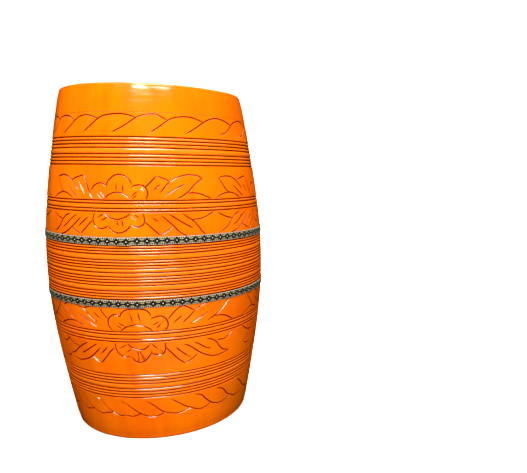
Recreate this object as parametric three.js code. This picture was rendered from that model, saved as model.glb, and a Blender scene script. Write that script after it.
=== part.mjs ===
// Dholak shell: a barrel turned and bored from one log, with its reeded bands and two glued ribbons.
// Millimetres, +Z up. The origin is the centre of the end that it stands on, and -Y is the front.
import * as THREE from 'three';

// The barrel outside
const shellHeight = 440;
const bellyHeight = 216; // height of the widest girth
const bellyRadius = 145;
const topRimRadius = 116.5; // at the sharp corner, before it is rounded
const bottomRimRadius = 118.5;
const swellLength = 130; // from the belly, the side bends within about this length and then runs straighter

// The bore and the two standing rims
const bellyWall = 17;
const rimWall = 14;
const rimOuterRound = 4;
const rimInnerRound = 3;

// A groove cut by the turner's pointed tool
const grooveWidth = 1.7;
const grooveDepth = 1.1;

// Reeded bands: each has grooves in equal pitches, mirrored about its own centre line
const beltCentre = 223.1; // the wide belt of grooves round the belly
const beltPitch = 3.4;
const innerGroupOffset = 4.9; // from the centre line to the first groove of the inner group
const outerGroupOffset = 21.8;
const beltGroupCount = 4;
const topFlowerBandCentre = 300.1; // the narrow bands that cross the carved flowers
const bottomFlowerBandCentre = 144.4;
const flowerBandStart = 2.8;
const flowerBandPitch = 3.6;
const flowerBandCount = 2;
const topBandCentre = 362.6;
const bottomBandCentre = 77.8;
const bandStart = 3.6;
const bandPitch = 4.05;
const bandCount = 4;

// The ribbons, each one strip of woven tape glued round the shell with its end lapped over its start
const ribbonWidth = 10;
const ribbonThickness = 0.8;
const ribbonSeat = 0.3; // glue line between the tape and the wood, and between the layers of the lap
const ribbonEdgeMargin = 0.4; // from the belt's last groove to the edge of the tape
const lapLength = 14;
const lapRampLength = 6; // where the tape climbs onto its own start
const topLapTurnShare = -18 / 360; // where each strip starts, in shares of a turn from the front
const bottomLapTurnShare = -14 / 360;

// Facets: the shell and the ribbons share them, so the tape lies flat on each one
const sides = 40;
const roundSteps = 2;
const boreSteps = 6;
const plainStep = 24; // longest stretch of bare outer profile without a point

const fullTurn = 2 * Math.PI;
const facetAngle = fullTurn / sides;

// Radius of the turned side at a height: a hyperbola that is widest at the belly and meets the rim radii
function swellRadius(height, widest, topRadius, bottomRadius) {
  const above = height > bellyHeight;
  const reach = above ? shellHeight - bellyHeight : bellyHeight;
  const endRadius = above ? topRadius : bottomRadius;
  const bend = (distance) => Math.hypot(swellLength, distance) - swellLength;
  return widest - ((widest - endRadius) * bend(height - bellyHeight)) / bend(reach);
}

function outerRadius(height) {
  return swellRadius(height, bellyRadius, topRimRadius, bottomRimRadius);
}

function boreRadius(height) {
  return swellRadius(height, bellyRadius - bellyWall, topRimRadius - rimWall, bottomRimRadius - rimWall);
}

// Heights of a group of grooves and its mirror image about a centre line
function mirroredGrooves(centre, start, pitch, count) {
  const offsets = Array.from({ length: count }, (_, i) => start + i * pitch);
  return offsets.flatMap((offset) => [centre - offset, centre + offset]);
}

function grooveHeights() {
  const heights = [
    ...mirroredGrooves(bottomBandCentre, bandStart, bandPitch, bandCount),
    ...mirroredGrooves(bottomFlowerBandCentre, flowerBandStart, flowerBandPitch, flowerBandCount),
    ...mirroredGrooves(beltCentre, outerGroupOffset, beltPitch, beltGroupCount),
    ...mirroredGrooves(beltCentre, innerGroupOffset, beltPitch, beltGroupCount),
    beltCentre,
    ...mirroredGrooves(topFlowerBandCentre, flowerBandStart, flowerBandPitch, flowerBandCount),
    ...mirroredGrooves(topBandCentre, bandStart, bandPitch, bandCount),
  ];
  return heights.sort((a, b) => a - b);
}

// A quarter round between two directions, given in quarter turns from the +radius axis
function cornerRound(radius, height, size, fromQuarter, toQuarter) {
  return Array.from({ length: roundSteps + 1 }, (_, i) => {
    const angle = ((fromQuarter + ((toQuarter - fromQuarter) * i) / roundSteps) * Math.PI) / 2;
    return new THREE.Vector2(radius + size * Math.cos(angle), height + size * Math.sin(angle));
  });
}

// The turned side from the bottom round to the top round: V grooves with bare stretches between them
function turnedSide() {
  const points = [];
  let last = rimOuterRound;
  const bareTo = (height) => {
    const steps = Math.ceil((height - last) / plainStep);
    for (let i = 1; i < steps; i++) {
      const bare = last + ((height - last) * i) / steps;
      points.push(new THREE.Vector2(outerRadius(bare), bare));
    }
  };
  for (const centre of grooveHeights()) {
    const lower = centre - grooveWidth / 2;
    const upper = centre + grooveWidth / 2;
    bareTo(lower);
    points.push(new THREE.Vector2(outerRadius(lower), lower));
    points.push(new THREE.Vector2(outerRadius(centre) - grooveDepth, centre));
    points.push(new THREE.Vector2(outerRadius(upper), upper));
    last = upper;
  }
  bareTo(shellHeight - rimOuterRound);
  return points;
}

// The bore from the top round down to the bottom round
function boreSide() {
  const top = shellHeight - rimInnerRound;
  const bottom = rimInnerRound;
  return Array.from({ length: boreSteps - 1 }, (_, i) => {
    const height = top + ((bottom - top) * (i + 1)) / boreSteps;
    return new THREE.Vector2(boreRadius(height), height);
  });
}

function shellGeometry() {
  const lowOuter = rimOuterRound;
  const highOuter = shellHeight - rimOuterRound;
  const lowInner = rimInnerRound;
  const highInner = shellHeight - rimInnerRound;
  const profile = [
    ...cornerRound(outerRadius(lowOuter) - rimOuterRound, lowOuter, rimOuterRound, -1, 0),
    ...turnedSide(),
    ...cornerRound(outerRadius(highOuter) - rimOuterRound, highOuter, rimOuterRound, 0, 1),
    ...cornerRound(boreRadius(highInner) + rimInnerRound, highInner, rimInnerRound, 1, 2),
    ...boreSide(),
    ...cornerRound(boreRadius(lowInner) + rimInnerRound, lowInner, rimInnerRound, 2, 3),
  ];
  profile.push(profile[0].clone());
  return new THREE.LatheGeometry(profile, sides).rotateX(Math.PI / 2);
}

// Radius at an angle of a surface whose facet corners lie at the given radius
function facetRadius(cornerRadius, angle) {
  const inFacet = angle - Math.floor(angle / facetAngle) * facetAngle;
  return (cornerRadius * Math.cos(facetAngle / 2)) / Math.cos(inFacet - facetAngle / 2);
}

// Angles where the strip needs a section: its ends, its ramp and every facet corner that it crosses
function stripStations(start, rampStart, lapStart, end) {
  const stations = [start, rampStart, lapStart, end];
  for (let i = Math.ceil(start / facetAngle); i * facetAngle < end; i++) {
    stations.push(i * facetAngle);
  }
  const tooClose = facetAngle / sides;
  stations.sort((a, b) => a - b);
  return stations.filter((angle, i) => i === 0 || angle - stations[i - 1] > tooClose);
}

// One lapped strip on the shell, from its lower edge upwards, as a closed band of rectangular sections
function ribbonGeometry(lowerEdge, startShare) {
  const upperEdge = lowerEdge + ribbonWidth;
  const start = startShare * fullTurn;
  const girth = outerRadius(lowerEdge + ribbonWidth / 2);
  const lapStart = start + fullTurn - ribbonThickness / girth;
  const rampStart = lapStart - lapRampLength / girth;
  const end = start + fullTurn + lapLength / girth;
  const step = ribbonThickness + ribbonSeat;
  const positions = [];
  const stations = stripStations(start, rampStart, lapStart, end);
  for (const angle of stations) {
    const climb = THREE.MathUtils.clamp((angle - rampStart) / (lapStart - rampStart), 0, 1);
    const lift = ribbonSeat + climb * step;
    const corners = [
      [outerRadius(lowerEdge) + lift, lowerEdge],
      [outerRadius(lowerEdge) + lift + ribbonThickness, lowerEdge],
      [outerRadius(upperEdge) + lift + ribbonThickness, upperEdge],
      [outerRadius(upperEdge) + lift, upperEdge],
    ];
    for (const [cornerRadius, height] of corners) {
      const radius = facetRadius(cornerRadius, angle);
      positions.push(radius * Math.sin(angle), -radius * Math.cos(angle), height);
    }
  }
  const corners = 4;
  const index = [];
  for (let i = 0; i + 1 < stations.length; i++) {
    for (let j = 0; j < corners; j++) {
      const a = i * corners + j;
      const b = i * corners + ((j + 1) % corners);
      index.push(a, b + corners, b, a, a + corners, b + corners);
    }
  }
  const last = (stations.length - 1) * corners;
  index.push(0, 1, 2, 0, 2, 3);
  index.push(last, last + 2, last + 1, last, last + 3, last + 2);
  const geometry = new THREE.BufferGeometry();
  geometry.setAttribute('position', new THREE.Float32BufferAttribute(positions, 3));
  geometry.setIndex(index);
  geometry.computeVertexNormals();
  return geometry;
}

const orangeLacquer = new THREE.MeshStandardMaterial({ color: 0xff7a08, roughness: 0.18, metalness: 0 });
const topTape = new THREE.MeshStandardMaterial({ color: 0x3a3528, roughness: 0.8, metalness: 0 });
const bottomTape = topTape.clone();

const shell = new THREE.Mesh(shellGeometry(), orangeLacquer);
shell.name = 'shell';

const beltReach = outerGroupOffset + (beltGroupCount - 1) * beltPitch + ribbonEdgeMargin;
const upperRibbon = new THREE.Mesh(ribbonGeometry(beltCentre + beltReach, topLapTurnShare), topTape);
upperRibbon.name = 'upper_ribbon';

const lowerRibbonEdge = beltCentre - beltReach - ribbonWidth;
const lowerRibbon = new THREE.Mesh(ribbonGeometry(lowerRibbonEdge, bottomLapTurnShare), bottomTape);
lowerRibbon.name = 'lower_ribbon';

const dholakShell = new THREE.Group();
dholakShell.add(shell, upperRibbon, lowerRibbon);

export default dholakShell;
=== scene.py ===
import copy
import math
import bpy
import numpy as np
from mathutils import Matrix, Vector
from mathutils.geometry import delaunay_2d_cdt


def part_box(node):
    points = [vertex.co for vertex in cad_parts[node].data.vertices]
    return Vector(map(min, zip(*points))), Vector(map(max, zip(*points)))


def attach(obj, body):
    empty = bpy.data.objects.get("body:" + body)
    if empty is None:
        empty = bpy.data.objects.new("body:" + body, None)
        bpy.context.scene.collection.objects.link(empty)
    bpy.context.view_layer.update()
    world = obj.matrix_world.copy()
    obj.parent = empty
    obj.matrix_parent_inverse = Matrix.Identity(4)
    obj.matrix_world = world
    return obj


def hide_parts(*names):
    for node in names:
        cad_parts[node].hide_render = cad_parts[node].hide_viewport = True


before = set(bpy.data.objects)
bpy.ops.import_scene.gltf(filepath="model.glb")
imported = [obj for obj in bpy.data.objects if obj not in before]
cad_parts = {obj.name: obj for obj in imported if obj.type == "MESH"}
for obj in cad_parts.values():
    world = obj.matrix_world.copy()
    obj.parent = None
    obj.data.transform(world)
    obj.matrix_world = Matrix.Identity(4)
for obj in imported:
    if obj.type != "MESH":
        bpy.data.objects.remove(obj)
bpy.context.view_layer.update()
mm = 0.001
fullTurn = 2 * math.pi


def placed(name, data):
    made = bpy.data.objects.new(name, data)
    bpy.context.scene.collection.objects.link(made)
    return made


# The view: the lens centre is measured from the drum's standing end, on its front side
view = {
    "distance": 0.7604,  # metres from the drum's axis
    "height": 0.3433,
    "turnRight": 16.6,  # degrees that the lens looks to the right of the drum
    "lookDown": 10.25,
    "roll": 0.67,
    "frameWidth": 527,  # pixels of the picture that the view follows
    "frameHeight": 473,
    "focalPixels": 514.4,
    "centrePixelX": 311.0,
    "centrePixelY": 263.1,
    "sensor": 36.0,
}


def setCamera():
    turn, down, roll = (math.radians(view[name]) for name in ("turnRight", "lookDown", "roll"))
    ahead = Vector((math.sin(turn) * math.cos(down), math.cos(turn) * math.cos(down), -math.sin(down)))
    levelRight = Vector((math.cos(turn), -math.sin(turn), 0))
    levelUp = levelRight.cross(ahead)
    right = levelRight * math.cos(roll) + levelUp * math.sin(roll)
    up = levelUp * math.cos(roll) - levelRight * math.sin(roll)
    lens = bpy.data.cameras.new("viewLens")
    lens.sensor_width = view["sensor"]
    lens.sensor_fit = "HORIZONTAL"
    lens.lens = view["focalPixels"] / view["frameWidth"] * view["sensor"]
    lens.shift_x = 0.5 - view["centrePixelX"] / view["frameWidth"]
    lens.shift_y = (view["centrePixelY"] - view["frameHeight"] / 2) / view["frameWidth"]
    camera = placed("viewCamera", lens)
    axes = Matrix((right, up, -ahead)).transposed().to_4x4()
    camera.matrix_world = Matrix.Translation((0, -view["distance"], view["height"])) @ axes
    bpy.context.scene.camera = camera


setCamera()
print("camera set")

# The turned barrel, in millimetres, as it is in the frame's shell
low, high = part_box("shell")
barrel = {
    "height": (high.z - low.z) / mm,
    "bellyRadius": (high.x - low.x) / 2 / mm,
    "bellyHeight": 216.0,
    "topRadius": 116.5,
    "bottomRadius": 118.5,
    "swell": 130.0,
    "bellyWall": 17.0,
    "rimWall": 14.0,
    "outerRound": 4.0,
    "innerRound": 3.0,
    "shoulder": 0.9,  # how far sanding has eased the side in, at each rim's round
    "shoulderReach": 17.0,  # and from how far below the round
    "shoulderCurve": 2.5,  # above 1 it eases in late
    "shoulderMost": 1.2,  # it eases on into the round, up to this
    "easedRows": [6.0, 8.5, 11.0, 14.0, 17.5, 22.0, 418.0, 422.5, 426.0, 429.0, 431.5, 434.0],
    "roundSteps": (6, 4),  # in the outer and the inner rounds of the rims
    "columns": 100,  # points round the drum
}

# Grooves cut on the lathe, mirrored about each band's centre line
turning = {
    "halfWidth": 0.85,
    "depth": 1.2,
    # half a groove, lip to foot: share of the half width, share of the depth, stain
    "flank": [(1.0, 0.0, 0.14), (0.88, 0.12, 0.3), (0.12, 0.88, 1.0)],
    "reedGap": 8.0,  # closer grooves have a reed between them
    "lipRound": 0.5,  # how far a full reed's shoulders fall below its crown
    "reedRounds": [0.8, 1.1, 0.25, 0.7, 1.0, 0.25, 0.9, 0.75],  # shares of that, so reeds differ
    "edgeRound": 0.4,  # share of it at a band's edges
    "leadIn": 0.6,  # where the side falls to that edge
    "crown": (-0.6, 0.0, 0.6),  # rows over a reed, in shares of its half width
    "wearAndSheen": -1.0,  # a reed's crown is painted paler: the lacquer rubbed thin there, and a painted sheen
    "bands": [  # centre height, first groove, pitch, grooves a side, groove on the centre
        (77.8, 3.6, 4.05, 4, False),
        (144.4, 2.8, 3.6, 2, False),
        (223.1, 4.9, 3.4, 4, True),
        (223.1, 21.8, 3.4, 4, False),
        (300.1, 2.8, 3.6, 2, False),
        (362.6, 3.6, 4.05, 4, False),
    ],
}

# Lines cut by hand with a small V gouge
gouge = {
    "halfWidth": 1.02,
    "depth": 1.06,
    "step": 2.1,  # distance between points along a cut
    "tailLength": 4.0,  # over which the gouge enters and leaves
    "tailShare": 0.4,
    "depthVaries": 0.45,  # share that the shallowest cuts lack
    "depthSwing": 2.4,  # radians of that variation per cut
    "harderBelow": 1.3,  # depth factor below the belly
    "footShare": 0.97,  # deeper in than this a cut's normal is plain
    "stainSpread": 1.6,  # above 1 the stain climbs the flanks
    "fullStain": 1.6,  # above 1 shallow cuts are stained too
    "scribeHalfWidth": 0.4,
    "scribeDepth": 0.22,
}


def bend(distance):
    return np.hypot(1, distance / barrel["swell"]) - 1


def swellRadius(height, bellyWall=0.0, rimWall=0.0):
    # The turned side, or a bore inside it, at each height
    fromBelly = np.asarray(height, float) - barrel["bellyHeight"]
    above = fromBelly > 0
    reach = np.where(above, barrel["height"] - barrel["bellyHeight"], barrel["bellyHeight"])
    widest = barrel["bellyRadius"] - bellyWall
    endRadius = np.where(above, barrel["topRadius"], barrel["bottomRadius"]) - rimWall
    return widest - (widest - endRadius) * bend(fromBelly) / bend(reach)


def outsideRadius(height):
    fromRim = np.minimum(height, barrel["height"] - np.asarray(height, float)) - barrel["outerRound"]
    eased = np.clip(1 - fromRim / barrel["shoulderReach"], 0, barrel["shoulderMost"])
    return swellRadius(height) - barrel["shoulder"] * eased ** barrel["shoulderCurve"]


def boreRadius(height):
    return swellRadius(height, barrel["bellyWall"], barrel["rimWall"])


def grooveHeights():
    heights = []
    for centre, first, pitch, count, onCentre in turning["bands"]:
        heights += [centre + side * (first + i * pitch) for i in range(count) for side in (-1, 1)]
        heights += [centre] * onCentre
    return sorted(heights)


class Surface:
    # Points and faces; each point's stain (below 0, wear and painted sheen), and its normal where that is set
    def __init__(self):
        self.points, self.cut, self.normals = [], [], {}
        self.faces, self.finish = [], []

    def add(self, angle, height, radius, cut, plainNormal=None):
        index = len(self.points)
        self.points.append((radius * math.sin(angle), -radius * math.cos(angle), height))
        self.cut.append(cut)
        if plainNormal is not None:
            self.normals[index] = plainNormal
        return index

    def face(self, corners, finish=0):
        self.faces.append(corners)
        self.finish.append(finish)


def plainNormal(angle, height, radiusAt):
    reach = 0.5
    slope = (radiusAt(height + reach) - radiusAt(height - reach)) / (2 * reach)
    normal = Vector((math.sin(angle), -math.cos(angle), -slope))
    return normal.normalized()


columnAngles = [-math.pi + fullTurn * k / barrel["columns"] for k in range(barrel["columns"])]


def addRing(surface, height, radius, cut=0.0, radiusAt=None):
    radii = np.broadcast_to(radius, len(columnAngles))
    return [surface.add(a, height, r, cut, radiusAt and plainNormal(a, height, radiusAt))
            for a, r in zip(columnAngles, radii.tolist())]


def joinRings(surface, lower, upper, finish=0):
    for a, b, c, d in zip(lower, lower[1:] + lower[:1], upper[1:] + upper[:1], upper):
        surface.face((a, b, c, d), finish)
    return upper


def flowing(points, step, scaleX):
    # A smooth curve through given points: points a step apart, and how far along each is
    control = np.array(points, float)
    if len(control) == 2:
        control = np.array([control[0], control.mean(axis=0), control[1]])
    ends = np.vstack([2 * control[0] - control[1], control, 2 * control[-1] - control[-2]])
    fine, fineSteps = [], 12
    share = np.linspace(0, 1, fineSteps, endpoint=False)[:, None]
    for p0, p1, p2, p3 in zip(ends[:-3], ends[1:-2], ends[2:-1], ends[3:]):
        fine.append(0.5 * (2 * p1 + (p2 - p0) * share + (2 * p0 - 5 * p1 + 4 * p2 - p3) * share**2
                           + (3 * p1 - p0 - 3 * p2 + p3) * share**3))
    fine = np.vstack(fine + [control[-1:]])
    lengths = np.hypot(np.diff(fine[:, 0]) * scaleX, np.diff(fine[:, 1]))
    along = np.concatenate([[0], np.cumsum(lengths)])
    stations = np.linspace(0, along[-1], max(3, int(round(along[-1] / step)) + 1))
    return np.column_stack([np.interp(stations, along, fine[:, i]) for i in (0, 1)]), stations


# The carved flowers. Each stroke is a row of points: degrees round from the flower's middle and height
# above its band in millimetres, in turn.
upperFlower = {
    "bandHeight": 300.1,
    "centres": [-18.5, 74, 163.5, -109],
    "squeeze": [1, 1.14, 1, 1],  # how far a motif's leaves spread
    "flower": [
        [-5.7, 21.3, -5.1, 27, -3.2, 32.2, -1.1, 35.2, 1.2, 35.7, 3.4, 34.2, 5.5, 30.5, 6.9, 24.2],
        [-13.7, 17, -12.7, 21.2, -11, 24.6, -8.9, 26, -7.2, 25, -5.5, 21.5],
        [6.7, 21.3, 7.9, 23.4, 10, 24.2, 12.1, 23.2, 13.3, 20.6, 14.1, 16, 13.9, 11.6, 13.2, 7.8],
        [-6.7, 7.9, -4.9, 11.9, -2.6, 14.7, -0.3, 15.7, 2.1, 14.7, 4.2, 11.8, 5.9, 7.9],
        [-0.8, 25.2, -0.6, 17.6], [2.3, 24.2, 2.6, 16.2], [6.7, 10.9, 8.1, 14.7, 9.8, 17.2],
        [7.2, 8.6, 9, 13.1], [-8.5, 16, -6.5, 10.2], [-9.6, 12.6, -7.7, 7.9],
        [-6.7, -7.8, -4.6, -12.1, -2.3, -14.4, 0.4, -14.9, 3.7, -12.2, 5.9, -8.1],
        [-11.4, -7.4, -12.3, -13.2, -11.9, -19.4, -10.6, -24.1, -8.2, -25.9, -5.8, -24.5, -4.6, -22.2],
        [-4.5, -22, -3.2, -26.8, -1.2, -29.8, 1, -30.4, 3.4, -28.3, 5.2, -24.6, 5.9, -21],
        [6.1, -20.8, 7.6, -23.2, 9.4, -23.6, 11.4, -21.5, 12.3, -17.4, 12.1, -12.2, 11.4, -7.4],
        [-0.4, -16.4, 0.2, -22.6], [1.9, -15.4, 2.5, -23.6], [6.2, -11.6, 8.4, -15.4],
        [7.6, -9.2, 9.9, -13.4], [-9.7, -13.2, -6.9, -8.6], [-8.2, -16.8, -4.9, -12.4],
    ],
    "leaves": [
        [12.8, 21, 15.6, 27.6, 18.4, 34.4], [18.4, 34.4, 21.6, 31.8, 24.8, 28],
        [24.6, 28, 22, 21.6, 19.9, 15.6], [16.9, 18.6, 20.2, 25],
        [24.8, 28, 27.5, 32, 30.8, 34.9, 34.9, 35.9, 38.9, 34.9, 41.4, 31.7],
        [41.4, 31.7, 38.5, 27.4, 35.6, 21.6, 33.2, 16.1, 30.6, 11.8, 27.3, 8],
        [22.6, 12.9, 25.9, 17.5, 28.3, 21.2, 32, 25], [33.1, 14.6, 35.7, 15, 39, 14, 42.3, 10.9, 45.8, 7.6],
        [12.3, -17.6, 14.8, -23.4, 17.4, -29.6, 19.2, -33.2], [19.2, -33.2, 22.2, -29, 25, -23.6],
        [15.8, -13.4, 18.4, -17.6], [20, -11, 22.5, -16.2, 25, -22, 27.5, -28.8, 30, -33.4, 32, -34.9],
        [29.5, -8.6, 32.3, -13.2, 35.2, -18.4, 37.4, -24.8, 39.2, -30.8, 41.2, -35],
        [23.7, -9.6, 26.6, -14.4, 29.9, -19.6, 34.6, -26.4],
        [34, -16.3, 37.3, -15.8, 40.6, -14.2, 43.9, -10.6, 46.5, -7.4],
        [-37.7, 32.6, -35, 34.2, -32.5, 34.7, -29.2, 33.2, -26.3, 29.1, -24.2, 24.3, -21.8, 18.7],
        [-37.7, 32.6, -35.8, 25.3, -34.1, 19.1, -31.9, 14.2], [-29.2, 24.3, -25.9, 17, -21.8, 9],
        [-26.3, 29.1, -23.4, 31.6, -20.2, 33.8, -17.9, 34.7], [-17.9, 34.7, -16, 23.2, -14, 12.8, -12.1, 7.8],
        [-20.5, 25.3, -17.7, 15],
        [-39.9, 8.4, -37.4, 11.8, -34.1, 14.2, -30.8, 14.5, -27.5, 11.8, -25.1, 8.6],
        [-39.9, -9.2, -37.4, -12.6, -35, -15.3, -31.7, -16.8],
        [-38.7, -32.4, -35.4, -27.8, -32.5, -19.5, -30, -13.2, -26.7, -10],
        [-31.3, -26.3, -28.4, -21.6, -25.1, -15.3, -21.8, -10.6],
        [-33, -35, -29.2, -32, -25.9, -26.8, -22.6, -20.5, -19.3, -13.6],
        [-25.1, -25.6, -21.8, -29.8, -19.3, -32.8], [-19.3, -32.8, -16, -24.7, -12.5, -16.2],
        [-20.5, -24, -18.5, -19.5, -15.2, -13.2],
    ],
}

lowerFlower = {
    "bandHeight": 144.4,
    "centres": [-12.3, 88.5, 175.5, -99.5],
    "squeeze": [1, 0.9, 0.86, 0.88],
    "flower": [
        [-7.4, 25.4, -6.8, 29.6, -5.2, 33.2, -2.8, 35.2, 0.4, 35.9, 3.6, 35, 5.9, 31.8, 7.1, 26.7],
        [-7.5, 25.2, -9, 28.1, -11.1, 27.3, -12.7, 24.1, -13.5, 19.3, -13.2, 13.1, -11.6, 7.8],
        [7, 22.6, 8.7, 24.7, 10.9, 25.8, 12.7, 24.9, 14.2, 20.6, 14.9, 15.2, 14.4, 10.4, 13.4, 7.6],
        [-7.6, 7.8, -5.7, 11.4, -3.3, 14.3, 0, 15.6, 3.3, 14.2, 5.8, 11, 7.6, 7.8], [-2.4, 27.7, -1.6, 19.3],
        [1.1, 30.8, 1.9, 21.4], [-8.6, 18.3, -5.1, 13.1], [-9.4, 15.2, -7, 10.4], [7.9, 15.2, 10.7, 18.7],
        [9.5, 11, 11.6, 16.2], [-5.1, -7.8, -3.1, -12.9, 0.3, -16.2, 3.3, -15.4, 5.9, -9.8],
        [-11.1, -7.6, -11, -15, -9.9, -21.3, -7.8, -25, -5.7, -25.9, -3.7, -25.2],
        [-3.4, -25.7, -2, -30.7, 0, -33.2, 2.5, -32.1, 4.1, -28.6, 5.4, -24.4, 6.2, -20.9],
        [6.2, -21.3, 8.3, -23.4, 10.7, -24, 12.4, -22.2, 13.3, -15.4, 13, -7.8], [-0.3, -17.6, 0.1, -24.6],
        [0.9, -17.4, 1.4, -22.8], [6.5, -8.8, 9.5, -16.1], [-8.6, -14.2, -5.7, -10.4],
        [-5.4, -19.2, -3.3, -15.6],
    ],
    "leaves": [
        [15, 21.4, 17.1, 27.7, 19.6, 33.9, 22, 36.9], [22, 36.9, 24.5, 33.9, 27.8, 29.1],
        [27.8, 29.1, 25.7, 23.5, 23.3, 18.3, 21.9, 15.2], [17.5, 16.2, 21.6, 24.6],
        [27.8, 29.1, 31.1, 33.9, 34.8, 37, 41, 38, 47.2, 36.2],
        [47.2, 36.2, 43.5, 26.6, 40.2, 20, 38.5, 17.9, 34.4, 13.1], [27, 14.1, 31.1, 19.3, 35.6, 25.6],
        [38.5, 17.9, 42.6, 16.6, 45.9, 14.1, 49.2, 9.4, 50.6, 7.6],
        [13.4, -15, 16.3, -23.4, 19.6, -32.7, 22.9, -39], [22.9, -39, 26.1, -35.9, 29.4, -29.2],
        [18.3, -16.1, 21.2, -23.4, 24.3, -29.6],
        [22.4, -13.4, 25.7, -17.5, 29, -24.4, 31.9, -29.6, 36, -34.8, 40.2, -37.5, 45.1, -36.9, 49.2, -34.8],
        [34.4, -10.9, 37.7, -14, 40.6, -19.2, 42.6, -26.5, 45.1, -31.7, 49.2, -34.8],
        [27.6, -12.5, 30.7, -17.1, 33.6, -22.3, 37.3, -25.9],
        [40.6, -16.1, 45.1, -17.1, 48.4, -14, 51.3, -9.2],
        [-41.2, 32.9, -37.9, 26.6, -36.2, 21.4, -33.7, 16.2], [-41.2, 32.9, -38, 36.6, -33, 37.6, -30, 35],
        [-30, 35, -26.7, 32.9, -23.9, 25.6, -20.6, 19.3], [-30, 25.6, -26.3, 20.4, -20.2, 11.6],
        [-26.7, 32.9, -23, 36.4, -17.7, 37.4], [-17.7, 37.1, -15.6, 28.7, -13.4, 22.5],
        [-21, 29.8, -17.3, 22.5], [-45.3, 7.8, -42, 11.6, -37.9, 14.6, -33.7, 15.2, -30.4, 13.1, -27.6, 11],
        [-44.5, -7.7, -41.2, -12.9, -37, -17.1, -33.3, -18.2],
        [-42.2, -31.7, -37.9, -27.5, -34.6, -21.3, -31.3, -16.1, -27.2, -10.9],
        [-40.7, -33.8, -36.2, -37.4, -30.5, -34.8, -26.3, -29.6, -23, -23.4, -20.2, -17.1],
        [-32.1, -26.5, -28, -21.3, -24.7, -16.1, -21.4, -11.3], [-25.1, -27.9, -22.2, -33.8, -20.2, -35.9],
        [-20.2, -35.9, -17.3, -28.6, -14, -19.2, -11.8, -14.4], [-19.3, -23.4, -15.6, -14],
    ],
}

# Two borders of leaning strands and a scribed line. Each strand is a row of points, degrees round from the
# front and height in turn. Those in front were cut by eye; behind, one repeats, in degrees from its start.
topBorder = {
    "frontStrands": [
        [-71, 384, -66.5, 390.5, -62.9, 397.3, -60.1, 402.1, -55.6, 403.7, -51, 402.7, -45.8, 397.5],
        [-54.7, 383.8, -50.2, 390, -45.6, 397.3, -42.8, 401.2, -38.2, 403.1, -33.7, 401.5, -30.1, 398.9],
        [-38.2, 384.8, -34.5, 391, -30, 398.7, -26.3, 402.3, -18.9, 404.2, -13.9, 402.9, -9.6, 400],
        [-22.2, 383.3, -18.1, 387.5, -13.9, 393.1, -9.4, 399.8, -5.7, 402.9, 0, 404.6, 3.3, 401.9,
         6.8, 398.1],
        [-2, 384.2, 0, 386.9, 3.3, 392.1, 7, 397.9, 10.7, 401.5, 16.5, 403.1, 21.4, 402.1, 27, 398.1],
        [16.5, 383.8, 21.4, 390, 27.2, 397.9, 30.5, 401.5, 36.2, 404.2, 41.2, 403.1, 44.5, 401, 48.4, 397.9],
        [37.5, 384.6, 42.8, 388.3, 48.6, 397.7, 52.7, 402.5, 58.9, 404.8, 64.3, 403.1, 68.6, 398.6],
        [56.8, 384.8, 61.8, 388.4, 68.8, 398.4, 73, 402.8, 79, 404.4, 84, 402.9, 88, 398.9],
    ],
    "backStrands": 12,
    "backStrand": [
        0, 384.4, 4.2, 387.6, 8, 392.8, 11.4, 398.4, 15.4, 402.6, 20, 404.4, 24.4, 402.8, 28.4, 398.8,
    ],
    "scribe": 406.4,
}
bottomBorder = {
    "frontStrands": [
        [-71.5, 57.5, -68, 52, -64.5, 45, -61, 40.4, -56.8, 37.3, -52.7, 34.4, -48.5, 36.2, -44.2, 39.2],
        [-55.1, 57.7, -52.2, 55, -49.8, 49.2, -47.3, 42.5, -43.6, 37.7, -39.5, 34.2, -34.9, 36.5,
         -30.6, 39.2], [-40.1, 57.5, -37.4, 53.3, -34.5, 45, -31.6, 40.2, -29.2, 37.3, -26.3, 35, -23, 36.2],
        [-23, 36.2, -19.3, 34.6, -16.4, 36.4, -14.1, 39.2],
        [-22.2, 53.3, -18.9, 47.1, -15.6, 40.8, -12.3, 36.7, -8.2, 34, -3.6, 35.6, -0.9, 39.4],
        [-9, 54.8, -5.7, 48.5, -2, 40.8, 2.5, 36.7, 6.2, 35.2, 9.9, 36.2, 14.2, 39.6],
        [3.3, 56.9, 7.4, 49.8, 11.5, 42.9, 14.4, 39.8, 18.1, 35.4, 22.2, 34.8, 27, 38.6],
        [16.9, 57.9, 20.6, 54.4, 23.9, 46, 27.2, 39.4, 30.5, 35.6, 34.6, 34, 39.5, 35.6, 42.6, 38.4],
        [30.9, 57.9, 35.4, 53.3, 39.5, 42.9, 42.8, 38.7, 46.1, 34.4, 51.1, 33.2, 56, 35.4, 58.8, 38.6],
        [48.6, 57.6, 52.7, 50.4, 56.8, 41.9, 61, 36.6, 65.9, 33.9, 70.5, 35.2, 75, 39],
    ],
    "backStrands": 15,
    "backStrand": [
        0, 57.6, 3.6, 53.2, 7.2, 46.4, 10.4, 40.4, 14, 36.6, 18, 34.6, 21.8, 35.4, 25.2, 39,
    ],
    "scribe": 32,
}


class Cut:
    # One gouge line: its points (radians round the drum, height), and half width and depth at each
    def __init__(self, points, halfWidth, depth, closed=False):
        radians = [(math.radians(x), y) for x, y in points]
        self.path, along = flowing(radians, gouge["step"], outsideRadius(radians[0][1]))
        swing = np.ones(len(along))
        if not closed:
            rise = np.clip(np.minimum(along, along[-1] - along) / gouge["tailLength"], 0, 1)
            swing = gouge["tailShare"] + (1 - gouge["tailShare"]) * rise * (2 - rise)
        self.halfWidth = halfWidth * swing
        self.depth = depth * swing

    def shifted(self, turn):
        other = copy.copy(self)
        other.path = self.path + np.array([turn, 0.0])
        return other


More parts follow.
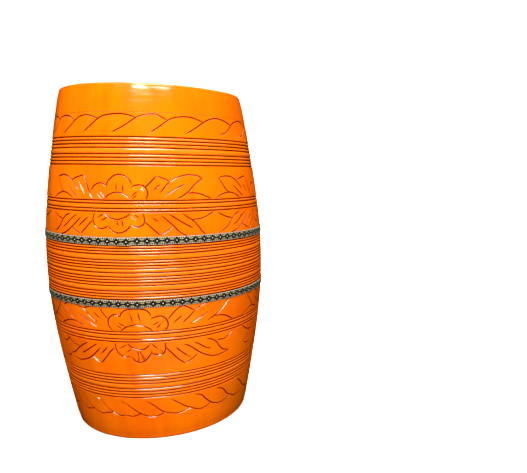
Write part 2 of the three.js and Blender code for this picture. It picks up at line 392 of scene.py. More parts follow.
def handDepth(number, height):
    # The hand leans unevenly on the gouge from cut to cut, and harder below the belly
    uneven = 1 - gouge["depthVaries"] * (0.5 + 0.5 * math.sin(gouge["depthSwing"] * number))
    return gouge["depth"] * uneven * (gouge["harderBelow"] if height < barrel["bellyHeight"] else 1.0)


def pointsOf(stroke):
    return list(zip(stroke[::2], stroke[1::2]))


def flowerCuts(register, above):
    # One register's cuts above or below its band; only the leaves follow the squeeze
    cuts = []
    inner = 12.0  # degrees out where the leaves start
    for centre, squeeze in zip(register["centres"], register["squeeze"]):
        strokes = [(stroke, 1.0) for stroke in register["flower"]]
        strokes += [(stroke, squeeze) for stroke in register["leaves"]]
        for stroke, share in strokes:
            if (stroke[1] + stroke[-1] > 0) != above:
                continue
            points = []
            for across, up in pointsOf(stroke):
                reach = abs(across) - inner
                spread = across if reach < 0 else math.copysign(inner + reach * share, across)
                points.append((centre + spread, register["bandHeight"] + up))
            cuts.append(Cut(points, gouge["halfWidth"], handDepth(len(cuts), points[0][1])))
    return cuts


def borderCuts(border):
    strands = [pointsOf(strand) for strand in border["frontStrands"]]
    first, last = strands[0][0][0], strands[-1][0][0]
    gap = (360 + first - last) / (border["backStrands"] + 1)
    for i in range(border["backStrands"]):
        start = last + gap * (i + 1)
        strands.append([(start + across, height) for across, height in pointsOf(border["backStrand"])])
    cuts = [Cut(points, gouge["halfWidth"], handDepth(i, points[0][1])) for i, points in enumerate(strands)]
    ringPoints = [(degrees, border["scribe"]) for degrees in range(-180, 181, 6)]
    return cuts + [Cut(ringPoints, gouge["scribeHalfWidth"], gouge["scribeDepth"], closed=True)]


def withTwins(cuts):
    # A cut near the seam at the back is repeated a turn away, for both sides of the seam
    reach = math.pi + 0.1  # a little past the seam
    moved = [cut.shifted(turn) for cut in cuts for turn in (-fullTurn, 0, fullTurn)]
    return [cut for cut in moved if cut.path[:, 0].max() > -reach and cut.path[:, 0].min() < reach]


def nearPath(spots, path, gaps):
    # Which spots lie in the box round a path, widened by the gaps
    inside = (spots > path.min(axis=0) - gaps) & (spots < path.max(axis=0) + gaps)
    return np.nonzero(inside.all(axis=1))[0]


def cutDepths(spots, cuts):
    # Depth, stain and lean of the wood at each spot, from the deepest V cut there
    depths, shares, leans = np.zeros(len(spots)), np.zeros(len(spots)), np.zeros(spots.shape)
    radii = outsideRadius(spots[:, 1])
    for cut in cuts:
        reach = cut.halfWidth.max()
        near = nearPath(spots, cut.path, np.array([reach / radii.min(), reach]))
        if not len(near):
            continue
        radius = radii[near][:, None]
        px, py = spots[near, :1] * radius, spots[near, 1:]
        ax, ay = cut.path[:-1, 0] * radius, cut.path[:-1, 1]
        dx, dy = cut.path[1:, 0] * radius - ax, cut.path[1:, 1] - ay
        along = np.clip(((px - ax) * dx + (py - ay) * dy) / (dx * dx + dy * dy), 0, 1)
        awayX, awayY = px - ax - along * dx, py - ay - along * dy
        distance = np.hypot(awayX, awayY)
        halfWidth = cut.halfWidth[:-1] + along * np.diff(cut.halfWidth)
        depth = cut.depth[:-1] + along * np.diff(cut.depth)
        side = 1 - distance / halfWidth
        best = np.arange(len(near)), side.argmax(axis=1)
        away = np.column_stack([awayX[best], awayY[best]])
        away /= np.maximum(distance[best], 1e-6)[:, None]
        side, depth = np.clip(side[best], 0, 1), depth[best]
        better = side * depth > depths[near]
        depths[near[better]] = (side * depth)[better]
        steepness = np.where(side > gouge["footShare"], 0, depth / halfWidth[best])
        leans[near[better]] = (-away * steepness[:, None])[better]
        full = np.minimum(1, depth / gouge["depth"] * gouge["fullStain"])
        shares[near] = np.maximum(shares[near], np.clip(side * gouge["stainSpread"], 0, 1) * full)
    return depths, shares, leans


# The mesh between two rings where cuts are carved
carvedMesh = {
    "rowSpacing": 5.5,  # between the rows of points on plain wood
    "clearance": 0.9,  # and from a cut to the nearest of them
    "cutLines": (-1.0, -0.88, -0.1, 0.1, 0.88, 1.0),  # mesh lines along a cut
    "inset": 0.06,  # how far they stay inside the zone
    "merge": 0.03,  # closer points become one
    "leanFrom": 0.01,  # a deeper cut leans the wood's normal
    "same": 1e-3,  # distance that counts as none
}


def offsetLines(cut):
    # Lines along the foot, the flanks and the lips of a cut
    ahead = np.gradient(cut.path, axis=0)
    radius = outsideRadius(cut.path[:, 1])
    ahead[:, 0] *= radius
    length = np.hypot(ahead[:, 0], ahead[:, 1])
    across = np.column_stack([-ahead[:, 1] / length / radius, ahead[:, 0] / length])
    return [cut.path + across * (cut.halfWidth * share)[:, None] for share in carvedMesh["cutLines"]]


def zonePlan(lowHeight, highHeight, cuts):
    # The zone unrolled: its outline, plain points clear of the cuts, and lines along the cuts
    columns, inset = barrel["columns"], carvedMesh["inset"]
    half = math.pi * barrel["bellyRadius"]
    unroll = np.array([barrel["bellyRadius"], 1.0])
    places, edges = [], []

    def addLine(line):
        start = len(places)
        places.extend(line)
        edges.extend((i, i + 1) for i in range(start, len(places) - 1))

    columnPlaces = [-half + 2 * half * k / columns for k in range(columns + 1)]
    for height in (lowHeight, highHeight):
        addLine([(x, height) for x in columnPlaces])
    rows = max(2, int(round((highHeight - lowHeight) / carvedMesh["rowSpacing"])))
    rowHeights = [lowHeight + (highHeight - lowHeight) * i / rows for i in range(1, rows)]
    for x in (-half, half):
        addLine([(x, height) for height in [lowHeight] + rowHeights + [highHeight]])
    spots = np.array([(columnPlaces[k] + i % 2 * half / columns, height)
                      for i, height in enumerate(rowHeights) for k in range(1, columns)])
    clear = np.ones(len(spots), bool)
    gap = gouge["halfWidth"] + carvedMesh["clearance"]
    for cut in cuts:
        path = cut.path * unroll
        near = nearPath(spots, path, gap)
        if len(near):
            apart = spots[near][:, None] - path[None]
            clear[near[np.hypot(apart[..., 0], apart[..., 1]).min(axis=1) < gap]] = False
    places.extend(map(tuple, spots[clear]))
    for cut in cuts:
        for line in offsetLines(cut):
            line = line * unroll
            line[:, 1] = np.clip(line[:, 1], lowHeight + inset, highHeight - inset)
            addLine(map(tuple, line))
    return [Vector(place) for place in places], edges


def carvedZone(surface, lowerRing, lowHeight, highHeight, cuts):
    # A ring at the zone's upper edge, and between it and the last one a mesh that follows every cut
    upperRing = addRing(surface, highHeight, outsideRadius(highHeight), 0.0, outsideRadius)
    columns, same = barrel["columns"], carvedMesh["same"]
    half = math.pi * barrel["bellyRadius"]
    cuts = withTwins(cuts)
    points, edges = zonePlan(lowHeight, highHeight, cuts)
    found = delaunay_2d_cdt(points, edges, [], 0, carvedMesh["merge"], False)
    spots = np.array([tuple(v) for v in found[0]])
    middles = np.array([spots[list(t)].mean(axis=0) for t in found[2]])
    inside = (np.abs(middles[:, 0]) < half) & (middles[:, 1] > lowHeight) & (middles[:, 1] < highHeight)
    triangles = [tuple(t) for t, keep in zip(found[2], inside) if keep]
    angles = spots[:, 0] / barrel["bellyRadius"]
    depths, shares, leans = cutDepths(np.column_stack([angles, spots[:, 1]]), cuts)
    onEdge = (np.abs(spots[:, 1] - lowHeight) < same) | (np.abs(spots[:, 1] - highHeight) < same)
    depths[onEdge] = shares[onEdge] = 0
    seam, indexOf = {}, {}
    for i in sorted({i for t in triangles for i in t}, key=lambda i: spots[i][0]):
        x, height = spots[i]
        place = (x + half) / (2 * half) * columns
        nearest = int(round(place))
        if onEdge[i] and abs(place - nearest) < same:
            ring = lowerRing if abs(height - lowHeight) < same else upperRing
            indexOf[i] = ring[nearest % columns]
            continue
        key = round(height, 3)
        if abs(x - half) < same and key in seam:
            indexOf[i] = seam[key]
            continue
        normal = plainNormal(angles[i], height, outsideRadius)
        if depths[i] > carvedMesh["leanFrom"]:
            turned, rise = leans[i]
            normal += Vector((turned * math.cos(angles[i]), turned * math.sin(angles[i]), rise))
            normal.normalize()
        radius = outsideRadius(height) - depths[i]
        indexOf[i] = surface.add(angles[i], height, radius, shares[i], normal)
        if abs(x + half) < same:
            seam[key] = indexOf[i]
    for t in triangles:
        corners = [indexOf[i] for i in t]
        if len(set(corners)) == 3:
            surface.face(corners)
    return upperRing


def turnedRows(lowHeight, highHeight):
    # Rows for the grooves between two heights: height, depth below the plain side, stain
    grooves = [g for g in grooveHeights() if lowHeight < g < highHeight]
    half, depth, rounds = turning["halfWidth"], turning["depth"], turning["reedRounds"]
    rows = []
    for i, groove in enumerate(grooves):
        below = groove - grooves[i - 1] if i else math.inf
        above = grooves[i + 1] - groove if i + 1 < len(grooves) else math.inf
        for side, gap, number in ((-1, below, i), (1, above, i + 1)):
            reed = gap < turning["reedGap"]
            lip = turning["lipRound"] * (rounds[number % len(rounds)] if reed else turning["edgeRound"])
            rows += [(groove + side * half * out, lip + (depth - lip) * down, stain)
                     for out, down, stain in turning["flank"]]
            if not reed:
                rows.append((groove + side * half + side * turning["leadIn"], 0.0, 0.0))
            elif side > 0:
                crown, reach = groove + gap / 2, gap / 2 - half
                rows += [(crown + share * reach, lip * share**2, turning["wearAndSheen"])
                         for share in turning["crown"]]
        rows.append((groove, depth, 1.0))
    return rows


def turnedZone(surface, last, lowHeight, highHeight):
    # Rings from the last one up to the zone's upper edge
    plain = [height for height in barrel["easedRows"] if lowHeight < height < highHeight] + [highHeight]
    rows = turnedRows(lowHeight, highHeight) + [(height, 0.0, 0.0) for height in plain]
    for height, depth, stain in sorted(rows):
        radiusAt = None if depth else outsideRadius
        ring = addRing(surface, height, outsideRadius(height) - depth, stain, radiusAt)
        last = joinRings(surface, last, ring)
    return last


def roundRows(outer, height, wide, high, fromQuarter, toQuarter, steps):
    # A quarter round whose widest point is at the outer radius
    angles = [math.pi / 2 * (fromQuarter + (toQuarter - fromQuarter) * i / steps) for i in range(steps + 1)]
    return [(outer - wide + wide * math.cos(a), height + high * math.sin(a)) for a in angles]


boreTool = {
    "rows": 54,
    "scallop": 0.9,  # height of the ridges that the hook tool leaves
    "leastScallop": 0.4,  # share of it that the lowest ridge has
    "wander": 0.7,
    "waves": (3, 5, 8, 13),  # how often the wander rises round the drum
    "fade": 12,  # both die out over a twelfth of the bore
    "seed": 11,
}


def boreRings(surface, last):
    # The rough bore from the top down: ridges from the hook tool, wandering round the drum
    rng = np.random.default_rng(boreTool["seed"])
    top, bottom = barrel["height"] - barrel["innerRound"], barrel["innerRound"]
    angles = np.array(columnAngles)
    for i in range(1, boreTool["rows"]):
        share = i / boreTool["rows"]
        height = top + (bottom - top) * share
        fade = min(1.0, boreTool["fade"] * min(share, 1 - share))
        ridge = boreTool["scallop"] * (i % 2) * rng.uniform(boreTool["leastScallop"], 1.0)
        waves = sum(np.sin(n * angles + rng.uniform(0, fullTurn)) * rng.uniform(0, 1) / n
                    for n in boreTool["waves"])
        radii = boreRadius(height) + fade * (ridge + boreTool["wander"] * (0.5 + 0.5 * waves))
        last = joinRings(surface, last, addRing(surface, height, radii), 1)
    return last


def stackRings(surface, last, rows, finish=0):
    for radius, height in rows:
        last = joinRings(surface, last, addRing(surface, height, radius), finish)
    return last


# The carved zones from the bottom up: lower edge, upper edge, cuts. Between them the side is only turned.
carvedZones = [
    (28.0, 59.6, borderCuts(bottomBorder)),
    (95.6, 136.2, flowerCuts(lowerFlower, False)),
    (152.4, 186.0, flowerCuts(lowerFlower, True)),
    (259.0, 292.0, flowerCuts(upperFlower, False)),
    (308.2, 344.8, flowerCuts(upperFlower, True)),
    (380.2, 410.0, borderCuts(topBorder)),
]


def buildShell():
    # Up the outside, over the top rim, down the bore and back to the first ring
    surface = Surface()
    inner, outer, steps = barrel["innerRound"], barrel["outerRound"], barrel["roundSteps"]
    wide = outer - barrel["shoulder"]
    foot, *rows = roundRows(outsideRadius(outer), outer, wide, outer, -1, 0, steps[0])
    outerFoot = addRing(surface, foot[1], foot[0])
    last = stackRings(surface, outerFoot, rows)
    reached, topRound = outer, barrel["height"] - outer
    for low, high, cuts in carvedZones:
        last = turnedZone(surface, last, reached, low)
        last = carvedZone(surface, last, low, high, cuts)
        reached = high
    last = turnedZone(surface, last, reached, topRound)
    rows = roundRows(outsideRadius(topRound), topRound, wide, outer, 0, 1, steps[0])
    last = stackRings(surface, last, rows[1:])
    top = barrel["height"] - inner
    rows = roundRows(boreRadius(top) + 2 * inner, top, inner, inner, 1, 2, steps[1])
    last = stackRings(surface, last, rows[:2])
    last = stackRings(surface, last, rows[2:], 1)
    last = boreRings(surface, last)
    rows = roundRows(boreRadius(inner) + 2 * inner, inner, inner, inner, 2, 3, steps[1])
    last = stackRings(surface, last, rows, 1)
    joinRings(surface, last, outerFoot, 1)
    return surface


def newMesh(name, points, faces, finishes):
    mesh = bpy.data.meshes.new(name)
    mesh.from_pydata(points, [], faces)
    for finish in finishes:
        mesh.materials.append(finish)
    mesh.polygons.foreach_set("use_smooth", [True] * len(faces))
    return mesh


def shellFrom(surface, name, finishes):
    mesh = newMesh(name, [tuple(c * mm for c in p) for p in surface.points], surface.faces, finishes)
    mesh.polygons.foreach_set("material_index", surface.finish)
    mesh.attributes.new("cut", "FLOAT", "POINT").data.foreach_set("value", surface.cut)
    mesh.update()
    normals = np.zeros(len(mesh.vertices) * 3)
    mesh.vertices.foreach_get("normal", normals)
    normals = normals.reshape(-1, 3)
    for index, normal in surface.normals.items():
        normals[index] = normal
    mesh.normals_split_custom_set_from_vertices(normals)
    return placed(name, mesh)


# Node helpers
class Paint:
    def __init__(self, name):
        self.material = bpy.data.materials.new(name)
        self.material.use_nodes = True
        self.tree = self.material.node_tree
        self.tree.nodes.clear()

    def node(self, kind, inputs=None, **settings):
        made = self.tree.nodes.new("ShaderNode" + kind)
        for key, value in settings.items():
            setattr(made, key, value)
        for key, value in (inputs or {}).items():
            self.give(made.inputs[key], value)
        return made

    def give(self, socket, value):
        if isinstance(value, bpy.types.NodeSocket):
            self.tree.links.new(value, socket)
        else:
            socket.default_value = value

    def calc(self, operation, *values):
        made = self.node("Math", operation=operation)
        for socket, value in zip(made.inputs, values):
            self.give(socket, value)
        return made.outputs[0]

    def plus(self, first, second):
        return self.calc("ADD", first, second)

    def minus(self, first, second):
        return self.calc("SUBTRACT", first, second)

    def times(self, first, second):
        return self.calc("MULTIPLY", first, second)

    def mix(self, factor, first, second):
        made = self.node("Mix", data_type="RGBA")
        for index, value in ((0, factor), (6, first), (7, second)):
            self.give(made.inputs[index], value)
        return made.outputs[2]

    def ramp(self, value, stops):
        made = self.node("ValToRGB", {"Fac": value})
        for element, (position, colour) in zip(made.color_ramp.elements, stops):
            element.position = position
            element.color = colour if isinstance(colour, tuple) else (colour, colour, colour, 1)
        return made.outputs["Color"]

    def noise(self, vector, scale, detail=3.0, roughness=0.5):
        inputs = {"Vector": vector, "Scale": scale, "Detail": detail, "Roughness": roughness}
        return self.node("TexNoise", inputs).outputs["Fac"]

    def stretched(self, vector, scale):
        return self.node("Mapping", {"Vector": vector, "Scale": scale}).outputs[0]

    def bump(self, height, strength, distance):
        inputs = {"Height": height, "Strength": strength, "Distance": distance}
        return self.node("Bump", inputs).outputs[0]

    def finishWith(self, inputs):
        shader = self.node("BsdfPrincipled", inputs)
        out = self.node("OutputMaterial")
        self.tree.links.new(shader.outputs[0], out.inputs["Surface"])
        return self.material


lacquer = {
    "bright": (0.76, 0.168, 0.0005, 1),
    "deep": (0.66, 0.113, 0.0005, 1),
    # the paler, pinker crowns of the reeds: wear of the lacquer, and a painted sheen
    "wearAndSheen": (0.76, 0.18, 0.015, 1),
    "bleed": (0.66, 0.068, 0.0005, 1),
    "smoke": (0.42, 0.112, 0.002, 1),
    "stain": (0.12, 0.002, 0.0001, 1),
    "grainStretch": (60, 60, 5),  # noise scales across and along the wood
    "cloudScale": 9,
    "cloudShare": 0.6,  # of the tone; the grain has the rest
    "tone": (0.36, 0.56),  # from deep to bright
    "smokeScale": 14,
    "smoky": (0.56, 0.78),  # the span of that noise where smoke comes in
    "smokeShare": 0.5,
    "wearAndSheenScale": 30,
    "leastWearAndSheen": 0.15,
    "stainScale": 240,
    "leastStain": 0.72,
    "bleeding": (0.0, 0.4),  # from plain wood to bleed, in cut shares
    "stained": (0.22, 0.62),  # and on to stain
    "roughness": 0.42,
    "baseGloss": 0.0,
    "coat": 1.0,
    "coatTint": (1.0, 0.84, 0.45, 1),
    "coatRoughness": 0.12,
    "dentScale": 36,  # the brushed coat: wide dents and fine marks of the turning
    "dents": 3.0,
    "markStretch": (16, 16, 130),
    "marks": 0.4,
    "brushed": (0.9, 0.0006),  # strength, and metres that it stands up
}


def span(limits, least, most):
    return [(limits[0], least), (limits[1], most)]


def lacqueredWood():
    p = Paint("orangeLacquer")
    place = p.node("TexCoord").outputs["Object"]
    streaked = p.stretched(place, lacquer["grainStretch"])
    tone = p.plus(p.times(p.noise(place, lacquer["cloudScale"], 3), lacquer["cloudShare"]),
                  p.times(p.noise(streaked, 1.0, 6, 0.6), 1 - lacquer["cloudShare"]))
    wood = p.ramp(tone, span(lacquer["tone"], lacquer["deep"], lacquer["bright"]))
    smoky = p.noise(place, lacquer["smokeScale"], 5, 0.55)
    wood = p.mix(p.ramp(smoky, span(lacquer["smoky"], 0, lacquer["smokeShare"])), wood, lacquer["smoke"])
    cut = p.node("Attribute", attribute_name="cut").outputs["Fac"]
    # Reed crowns are painted paler and pinker: wear of the lacquer, and a painted sheen
    wearAndSheenShare = p.times(cut, p.minus(-lacquer["leastWearAndSheen"], p.noise(place, lacquer["wearAndSheenScale"], 2)))
    wood = p.mix(p.calc("MAXIMUM", wearAndSheenShare, 0.0), wood, lacquer["wearAndSheen"])
    uneven = p.times(p.noise(place, lacquer["stainScale"], 2), 0.5)
    stained = p.times(cut, p.plus(uneven, lacquer["leastStain"]))
    edge = p.mix(p.ramp(stained, span(lacquer["bleeding"], 0, 1)), wood, lacquer["bleed"])
    colour = p.mix(p.ramp(stained, span(lacquer["stained"], 0, 1)), edge, lacquer["stain"])
    marks = p.noise(p.stretched(place, lacquer["markStretch"]), 1.0, 1)
    ripple = p.plus(p.times(p.noise(place, lacquer["dentScale"], 0), lacquer["dents"]),
                    p.times(marks, lacquer["marks"]))
    return p.finishWith({
        "Base Color": colour,
        "Roughness": lacquer["roughness"],
        "Specular IOR Level": lacquer["baseGloss"],
        "Normal": p.bump(p.noise(streaked, 2.2, 5, 0.6), 0.10, 0.001),
        "Coat Weight": lacquer["coat"],
        "Coat Roughness": lacquer["coatRoughness"],
        "Coat Tint": lacquer["coatTint"],
        "Coat Normal": p.bump(ripple, *lacquer["brushed"]),
    })


rawWood = {
    "figureStretch": (34, 34, 3),
    "figure": (0.36, 0.60),  # from dark to pale
    "fibreStretch": (420, 420, 22),
    "pale": (0.66, 0.43, 0.21, 1),
    "dark": (0.40, 0.22, 0.09, 1),
    "pores": (0.20, 0.09, 0.03, 1),
    "poreShare": 0.55,
    "overspray": (0.80, 0.15, 0.001, 1),
    "oversprayReach": 0.016,  # metres in from each rim
    "oversprayFull": 0.004,
    "raggedness": 0.03,
    "roughness": 0.8,
}


def boredWood():
    p = Paint("boredWood")
    place = p.node("TexCoord").outputs["Object"]
    figure = p.noise(p.stretched(place, rawWood["figureStretch"]), 1.0, 6, 0.6)
    fibre = p.noise(p.stretched(place, rawWood["fibreStretch"]), 1.0, 5, 0.7)
    wood = p.ramp(figure, span(rawWood["figure"], rawWood["dark"], rawWood["pale"]))
    wood = p.mix(p.ramp(fibre, span((0.38, 0.5), rawWood["poreShare"], 0)), wood, rawWood["pores"])
    height = p.node("SeparateXYZ", {"Vector": place}).outputs["Z"]
    fromRim = p.calc("MINIMUM", height, p.minus(barrel["height"] * mm, height))
    uneven = p.times(p.minus(p.noise(place, 55, 4), 0.5), rawWood["raggedness"])
    spray = p.node("MapRange", {"Value": p.plus(fromRim, uneven), "From Min": rawWood["oversprayReach"],
                                "From Max": rawWood["oversprayFull"]})
    return p.finishWith({
        "Base Color": p.mix(spray.outputs[0], wood, rawWood["overspray"]),
        "Roughness": rawWood["roughness"],
        "Normal": p.bump(fibre, 0.5, 0.0008),
    })


shellPiece = shellFrom(buildShell(), "turned_shell", [lacqueredWood(), boredWood()])
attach(shellPiece, "root")
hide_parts("shell")
print("shell made:", len(shellPiece.data.vertices), "points,", len(shellPiece.data.polygons), "faces")

# The ribbons: narrow woven tape, one strip each, glued round the shell with the end lapped over the start
tape = {
    "width": 10.0,  # over the loops of its edges
    "thickness": 0.8,
    "selvedge": 0.5,  # thickness of the edges
    "selvedgeWidth": 0.8,
    "selvedgeBlend": 0.5,
    "relief": 0.10,  # how far the black figure stands up
    "tuck": 0.25,  # how far the very edge turns in
    "glue": 0.08,
    "lap": 14.0,
    "ramp": 6.0,
    "settle": 90.0,  # the lapped end drops a little over this length
    "column": 0.463,  # between the mesh's columns, four to a loop
    "rows": [0.5, 1.0, 1.6, 2.2, 2.8, 3.4, 3.9, 4.3, 4.7, 5.0],  # its rows, each side
    "loopsFrom": 3.9,  # from here the edge follows its loops
    "repeat": 11.115,  # one diamond and one pair of bowls
    "waist": 0.9,  # half height of the black line between diamonds
    "diamondHigh": 3.5,
    "curve": 1.8,  # above 1 the sides of the diamonds are hollow
    "eyeHalf": 0.58,  # the spot in each diamond
    "bowlHigh": 1.35,  # the pale bowls on both sides of the line
    "bowlHalf": 3.1,
    "dotRow": 3.0,  # a row of black dots on white outside the bowls
    "dotPitch": 2.45,
    "dotHalf": 0.95,
    "field": 3.75,
    "edgeLine": 4.35,  # outside it the edge is painted near black, a painted shadow between pale loops
    "loopRow": 4.65,
    "loopHalf": (0.42, 0.35),
    "bead": 1.8525,  # pitch of the loops along the edges
    "beadDepth": 0.85,
    "threads": (0.4, 0.5),  # pitch of the weave along and across
    "threadShade": 0.22,
    "black": (0.004, 0.004, 0.006, 1),
    "gold": (0.31, 0.265, 0.085, 1),
    "cream": (0.42, 0.36, 0.24, 1),
    "white": (0.56, 0.50, 0.38, 1),
    "eye": (0.85, 0.80, 0.70, 1),
    # painted shadow: the near-black edge between the pale loops
    "edge": (0.025, 0.018, 0.012, 1),
    "loop": (0.24, 0.19, 0.12, 1),
    "shade": (0.01, 0.008, 0.006, 1),
    "roughness": 0.6,
    "gloss": 0.15,
}
ribbons = [
    # name, node, lower edge, degrees where its lap ends, phase of the pattern, drop of the lapped end, wobble
    ("upper_tape", "upper_ribbon", 255.6, -12.9, 0.54, 0.8, (0.20, 3, 0.4)),
    ("lower_tape", "lower_ribbon", 181.0, -7.6, 9.91, 0.6, (0.22, 2, 1.9)),
]


def wovenTape():
    p = Paint("wovenTape")
    across = p.node("UVMap", uv_map="tape").outputs[0]
    parts = p.node("SeparateXYZ", {"Vector": across}).outputs
    along, side = parts["X"], p.calc("ABSOLUTE", parts["Y"])
    halfRepeat = tape["repeat"] / 2
    fromDiamond = p.calc("PINGPONG", along, halfRepeat)
    fromBowl = p.minus(halfRepeat, fromDiamond)
    # the black figure: hollow-sided diamonds on a line
    nearness = p.minus(1.0, p.calc("DIVIDE", fromDiamond, halfRepeat))
    rise = p.times(p.calc("POWER", nearness, tape["curve"]), tape["diamondHigh"])
    figure = p.calc("LESS_THAN", side, p.plus(tape["waist"], rise))

    def spot(place, placeFrom, placeHalf, sideFrom, sideHalf):
        # 1 inside an ellipse, 0 outside
        squares = []
        for value, middle, half in ((place, placeFrom, placeHalf), (side, sideFrom, sideHalf)):
            away = p.calc("ABSOLUTE", p.calc("DIVIDE", p.minus(value, middle), half))
            squares.append(p.calc("POWER", away, 2.0))
        return p.calc("LESS_THAN", p.plus(*squares), 1.0)

    eye = spot(fromDiamond, 0.0, tape["eyeHalf"], 0.0, tape["eyeHalf"])
    bowl = spot(fromDiamond, halfRepeat, tape["bowlHalf"], tape["waist"], tape["bowlHigh"])
    dot = spot(p.calc("PINGPONG", fromBowl, tape["dotPitch"] / 2), 0.0, tape["dotHalf"],
               tape["dotRow"], tape["dotHalf"])
    loop = spot(p.calc("PINGPONG", along, tape["bead"] / 2), tape["bead"] / 2, tape["loopHalf"][0],
                tape["loopRow"], tape["loopHalf"][1])
    colour = p.mix(p.calc("LESS_THAN", side, tape["field"]), tape["white"], tape["cream"])
    # beyond the edge line the tape is painted near black, a painted shadow between the loops
    shadowedEdge = p.calc("GREATER_THAN", side, tape["edgeLine"])
    for where, name in ((shadowedEdge, "edge"), (loop, "loop"), (bowl, "gold"), (dot, "black"), (figure, "black"),
                        (eye, "eye")):
        colour = p.mix(where, colour, tape[name])
    waves = [p.calc("ABSOLUTE", p.calc("SINE", p.times(way, math.pi / pitch)))
             for way, pitch in zip((along, parts["Y"]), tape["threads"])]
    weave = p.times(*waves)
    shade = p.times(p.minus(1.0, weave), tape["threadShade"])
    return p.finishWith({
        "Base Color": p.mix(shade, colour, tape["shade"]),
        "Roughness": tape["roughness"],
        "Specular IOR Level": tape["gloss"],
        "Normal": p.bump(weave, 0.5, 0.0002),
    })


def tapeRelief(along, side):
    # Height of the outer face above the underside: thick in the figured middle, thin at the edges
    side = abs(side)
    inner, blend = tape["width"] / 2 - tape["selvedgeWidth"], tape["selvedgeBlend"]
    share = min(1.0, max(0.0, (side - inner + blend / 2) / blend))
    thick = tape["thickness"] * (1 - share) + tape["selvedge"] * share
    nearness = abs((along / tape["repeat"]) % 1 - 0.5) * 2
    raised = side < tape["waist"] + tape["diamondHigh"] * nearness ** tape["curve"]
    return thick - (0.0 if raised else tape["relief"]) * (1 - share)


def tapeMesh(name, lowerEdge, lapEnd, phase, drop, wobble, finish):
    half = tape["width"] / 2
    middle = lowerEdge + half
    girth = float(outsideRadius(middle)) + tape["glue"]
    end = math.radians(lapEnd) + fullTurn
    start = end - fullTurn - tape["lap"] / girth
    length = (end - start) * girth
    columns = int(length / tape["column"])
    rampStart = length - tape["lap"] - tape["ramp"]
    sides = [-side for side in reversed(tape["rows"])] + [0.0] + tape["rows"]
    section = [(-half, True)] + [(side, False) for side in sides] + [(half, True)]
    points, places = [], []
    for i in range(columns + 1):
        along = length * i / columns
        angle = start + (end - start) * i / columns
        climb = min(1.0, max(0.0, (along - rampStart) / tape["ramp"]))
        climb = climb * climb * (3 - 2 * climb)
        lift = tape["glue"] + climb * (tape["thickness"] + tape["glue"])
        settle = min(1.0, max(0.0, (along - length + tape["settle"]) / tape["settle"]))
        shift = wobble[0] * math.sin(wobble[1] * angle + wobble[2]) - drop * settle * settle
        loop = tape["beadDepth"] * abs(math.sin(math.pi * along / tape["bead"]))
        for side, under in section:
            edge = (abs(side) - tape["loopsFrom"]) / (half - tape["loopsFrom"])
            across = side - math.copysign(max(0.0, edge) * (tape["beadDepth"] - loop), side)
            height = middle + across + shift
            out = outsideRadius(height) + lift
            if not under:
                out += tapeRelief(along + phase, side) - (tape["tuck"] if abs(side) == half else 0.0)
            points.append((out * math.sin(angle) * mm, -out * math.cos(angle) * mm, height * mm))
            places.append((along + phase, side))
    count = len(section)
    faces = [(i + j, i + count + j, i + count + (j + 1) % count, i + (j + 1) % count)
             for i in range(0, columns * count, count) for j in range(count)]
    faces.append(tuple(range(count)))
    faces.append(tuple(columns * count + j for j in reversed(range(count))))
    mesh = newMesh(name, points, faces, [finish])
    mesh.polygons.foreach_set("use_smooth", [True] * (len(faces) - 2) + [False, False])
    layer = mesh.uv_layers.new(name="tape")
    corners = np.zeros(len(mesh.loops), int)
    mesh.loops.foreach_get("vertex_index", corners)
    layer.data.foreach_set("uv", np.array(places)[corners].ravel())
    return placed(name, mesh), length


tapeFinish = wovenTape()
for name, node, lowerEdge, lapEnd, phase, drop, wobble in ribbons:
    strip, length = tapeMesh(name, lowerEdge, lapEnd, phase, drop, wobble, tapeFinish)
    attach(strip, "root")
    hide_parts(node)
    print(name, "made:", round(length), "mm long,", len(strip.data.polygons), "faces")

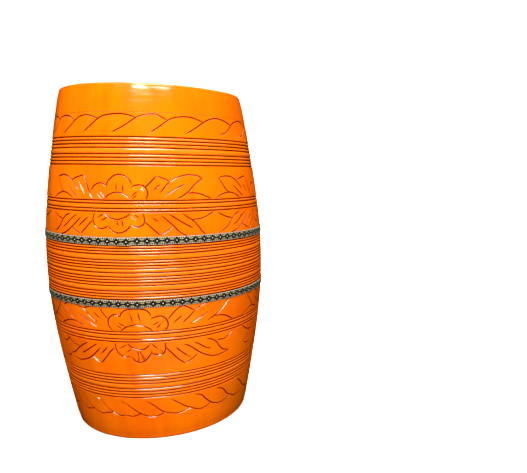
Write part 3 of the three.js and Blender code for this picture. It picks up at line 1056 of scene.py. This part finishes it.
# The studio: a round pale paper cove that only the camera sees, and lamps above the front, above and behind
studio = {
    "paper": (0.92, 0.92, 0.92, 1),
    "roughness": 0.9,
    "floorRadius": 1.9,
    "bendRadius": 0.9,
    "bendStep": 6,  # degrees
    "wallTop": 2.3,
    "columns": 96,  # points round the cove
    "worldColour": (1.0, 1.0, 1.0, 1),
    "worldStrength": 0.28,
    "lampColour": (1.0, 0.95, 0.86),
}
lamps = [
    # name, shape, place, aim, width, height, power, whether it shines in the lacquer
    ("keyLight", "ELLIPSE", (-0.30, -1.00, 1.205), (0, -0.12, 0.42), 0.50, 0.22, 12, True),
    ("glintLight", "ELLIPSE", (-0.08, -0.86, 1.46), (0, -0.12, 0.30), 1.05, 0.58, 31, True),
    ("ceilingLight", "RECTANGLE", (0, -0.3, 2.7), (0, -0.3, 0), 4.2, 3.6, 90, True),
    ("fillLight", "RECTANGLE", (0.14, -1.25, 1.60), (0, 0, 0.36), 1.0, 0.6, 14, False),
    ("bounceLight", "RECTANGLE", (0.05, -0.50, 0.012), (0.03, -0.36, 0.40), 0.5, 0.4, 1.6, False),
    ("backLight", "RECTANGLE", (0.35, 1.30, 1.75), (0, 0.1, 0.28), 1.3, 0.8, 48, True),
    ("wallLight", "RECTANGLE", (0.9, 0.6, 2.3), (0.9, 2.6, 0.6), 3.0, 0.5, 110, False),
]


def paperCove():
    reach, bendSize, count = studio["floorRadius"], studio["bendRadius"], studio["columns"]
    rows = [(reach * share, 0.0) for share in (0.25, 0.5, 0.75, 1.0)]
    for a in map(math.radians, range(studio["bendStep"], 91, studio["bendStep"])):
        rows.append((reach + bendSize * math.sin(a), bendSize * (1 - math.cos(a))))
    rows.append((reach + bendSize, studio["wallTop"]))
    turns = [fullTurn * k / count for k in range(count)]
    points = [(0.0, 0.0, 0.0)]
    points += [(radius * math.cos(a), radius * math.sin(a), height) for radius, height in rows for a in turns]
    faces = [(0, 1 + k, 1 + (k + 1) % count) for k in range(count)]
    for inner in range(1, (len(rows) - 1) * count, count):
        faces += [(inner + k, inner + count + k, inner + count + (k + 1) % count, inner + (k + 1) % count)
                  for k in range(count)]
    paper = Paint("palePaper").finishWith({"Base Color": studio["paper"], "Roughness": studio["roughness"]})
    cove = placed("paperCove", newMesh("paperCove", points, faces, [paper]))
    cove.visible_glossy = False
    cove.visible_diffuse = False  # only a backdrop: the drum's soft light comes from the room
    cove.visible_shadow = False


def setStudio():
    bpy.context.scene.view_settings.view_transform = "Standard"
    world = bpy.data.worlds.new("softRoom")
    world.use_nodes = True
    background = world.node_tree.nodes["Background"]
    background.inputs["Color"].default_value = studio["worldColour"]
    background.inputs["Strength"].default_value = studio["worldStrength"]
    world.cycles_visibility.glossy = False  # the room lights the drum, but only lamps shine in the lacquer
    bpy.context.scene.world = world
    paperCove()
    for name, shape, place, aim, width, height, power, shines in lamps:
        lamp = bpy.data.lights.new(name, "AREA")
        lamp.shape = shape
        lamp.size, lamp.size_y = width, height
        lamp.energy = power
        lamp.color = studio["lampColour"]
        light = placed(name, lamp)
        light.location = place
        light.visible_glossy = shines
        light.visible_camera = False
        towards = Vector(aim) - light.location
        light.rotation_euler = towards.to_track_quat("-Z", "Y").to_euler()


setStudio()
print("studio set")
